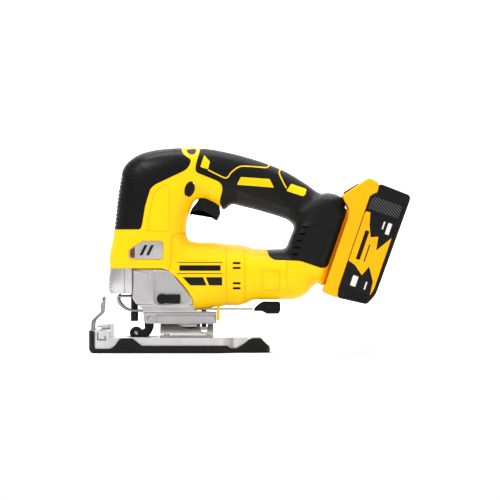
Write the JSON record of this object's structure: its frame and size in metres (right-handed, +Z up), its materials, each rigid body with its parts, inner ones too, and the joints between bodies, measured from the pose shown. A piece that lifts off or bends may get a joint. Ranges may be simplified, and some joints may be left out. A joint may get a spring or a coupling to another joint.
{
  "type": "cordless jigsaw",
  "caption": "Cordless top-handle jigsaw with a slide-on battery, a tilting shoe, a guide roller, orbital and bevel levers and a tool-less blade release.",
  "frame": {"origin": "centre of the footprint, on the plane of the shoe's sole", "axes": "+Z up, +X towards the battery, +Y to the tool's right side; the front of the shoe points to -X"},
  "size_m": [0.318, 0.086, 0.2042],
  "materials": {
    "yellow_plastic": "moulded nylon, fine spark texture",
    "battery_yellow": "moulded nylon, fine spark texture",
    "grip_rubber": "soft overmoulded rubber",
    "cast_aluminium": "die cast, shot blasted",
    "black_plastic": "moulded black plastic",
    "black_steel": "blackened steel",
    "steel": "zinc plated steel",
    "chrome_wire": "bright plated wire",
    "bronze": "sintered bronze",
    "motor_core": "laminations with copper winding",
    "badge_metal": "satin grey paint",
    "circuit_board": "board potted in resin",
    "cell_can": "sleeved cells",
    "lamp_lens": "clear moulded lens"
  },
  "bodies": {
    "housing": {"housing_left": "yellow_plastic", "housing_right": "yellow_plastic", "front_grip_left": "grip_rubber", "front_grip_right": "grip_rubber", "handle_grip_left": "grip_rubber", "handle_grip_right": "grip_rubber", "gear_housing": "cast_aluminium", "badge_left": "badge_metal", "badge_right": "badge_metal", "led_lens": "lamp_lens", "finger_guard": "chrome_wire", "lower_bush": "bronze", "upper_bush": "bronze", "gear_bearing": "chrome_wire", "motor_stator": "motor_core", "front_motor_bearing": "chrome_wire", "rear_motor_bearing": "chrome_wire", "switch_body": "black_plastic", "motor_controller": "circuit_board", "battery_rail": "black_plastic", "housing_screw_1": "steel", "housing_screw_2": "steel", "housing_screw_3": "steel", "housing_screw_4": "steel", "housing_screw_5": "steel", "housing_screw_6": "steel", "roller_arm_pin": "chrome_wire", "bevel_bolt": "steel", "bevel_clamp_nut": "steel"},
    "plunger": {"plunger": "steel", "blade_clamp": "black_steel", "crank_yoke": "steel"},
    "drive_gear": {"drive_gear": "steel"},
    "rotor": {"motor_rotor": "steel", "pinion": "steel", "cooling_fan": "black_plastic"},
    "release_lever": {"blade_release_lever": "cast_aluminium"},
    "trigger": {"trigger": "black_plastic"},
    "lock_button": {"lock_off_button": "black_plastic"},
    "speed_dial": {"speed_dial": "black_plastic"},
    "roller_arm": {"roller_arm": "black_steel", "roller_axle": "chrome_wire"},
    "guide_roller": {"guide_roller": "black_steel"},
    "orbital_lever": {"orbital_lever": "black_plastic"},
    "bevel_lever": {"bevel_lever": "steel", "bevel_knob": "black_plastic"},
    "shoe": {"shoe_cover": "black_plastic", "shoe_plate": "cast_aluminium", "shoe_bracket": "steel", "bracket_screw_1": "steel", "bracket_screw_2": "steel", "bracket_screw_3": "steel", "bracket_screw_4": "steel", "shoe_guard_wire": "chrome_wire"},
    "fence_screw": {"fence_screw": "steel"},
    "battery": {"battery_top_case": "battery_yellow", "battery_bottom_case": "black_plastic", "battery_cells": "cell_can", "battery_board": "circuit_board"},
    "battery_release": {"battery_release": "black_plastic"}
  },
  "joints": [
    {"name": "shoe_bevel", "type": "hinge", "parent": "housing", "child": "shoe", "pos_m": [-0.0455, 0, 0.008], "axis": [1, 0, 0], "range_deg": [-45, 45]},
    {"name": "plunger_stroke", "type": "slide", "parent": "housing", "child": "plunger", "axis": [0, 0, 1], "range_m": [0, 0.026]},
    {"name": "gear_spin", "type": "hinge", "parent": "housing", "child": "drive_gear", "pos_m": [-0.086, 0, 0.1025], "axis": [1, 0, 0], "continuous": true},
    {"name": "rotor_spin", "type": "hinge", "parent": "housing", "child": "rotor", "pos_m": [-0.086, 0, 0.0775], "axis": [1, 0, 0], "continuous": true},
    {"name": "blade_release", "type": "hinge", "parent": "housing", "child": "release_lever", "pos_m": [-0.1166, -0.0285, 0.07], "axis": [0, 0, 1], "range_deg": [0, 35], "stiffness_Nm_per_rad": 0.3, "springref_deg": -5.73},
    {"name": "trigger_pull", "type": "slide", "parent": "housing", "child": "trigger", "axis": [0, 0, 1], "range_m": [0, 0.006], "stiffness_N_per_m": 400, "springref_m": -0.002},
    {"name": "lock_off_push", "type": "slide", "parent": "housing", "child": "lock_button", "axis": [0, 1, 0], "range_m": [0, 0.003], "stiffness_N_per_m": 300, "springref_m": -0.001},
    {"name": "speed_dial_turn", "type": "hinge", "parent": "housing", "child": "speed_dial", "pos_m": [-0.058, 0, 0.1952], "axis": [0, 1, 0], "range_deg": [-120, 120]},
    {"name": "roller_arm_rock", "type": "hinge", "parent": "housing", "child": "roller_arm", "pos_m": [-0.1004, 0, 0.0345], "axis": [0, 1, 0], "range_deg": [0, 6], "stiffness_Nm_per_rad": 0.5, "springref_deg": -5.73},
    {"name": "guide_roller_spin", "type": "hinge", "parent": "roller_arm", "child": "guide_roller", "pos_m": [-0.1132, 0, 0.0186], "axis": [0, 1, 0], "continuous": true},
    {"name": "orbital_setting", "type": "hinge", "parent": "housing", "child": "orbital_lever", "pos_m": [-0.0868, -0.025, 0.053], "axis": [0, -1, 0], "range_deg": [0, 75]},
    {"name": "bevel_lock", "type": "hinge", "parent": "housing", "child": "bevel_lever", "pos_m": [-0.0455, 0, 0.0426], "axis": [0, 0, 1], "range_deg": [0, 30]},
    {"name": "fence_screw_turn", "type": "hinge", "parent": "shoe", "child": "fence_screw", "pos_m": [-0.14, -0.034, 0.0262], "axis": [1, 0, 0], "continuous": true},
    {"name": "battery_slide", "type": "slide", "parent": "housing", "child": "battery", "axis": [0.3256, 0, 0.9455], "range_m": [0, 0.075]},
    {"name": "battery_release_push", "type": "slide", "parent": "battery", "child": "battery_release", "axis": [0.5299, 0, -0.848], "range_m": [0, 0.003], "stiffness_N_per_m": 500, "springref_m": -0.002}
  ],
  "couplings": [
    {"joint": "rotor_spin", "follows": "gear_spin", "ratio": -4}
  ]
}
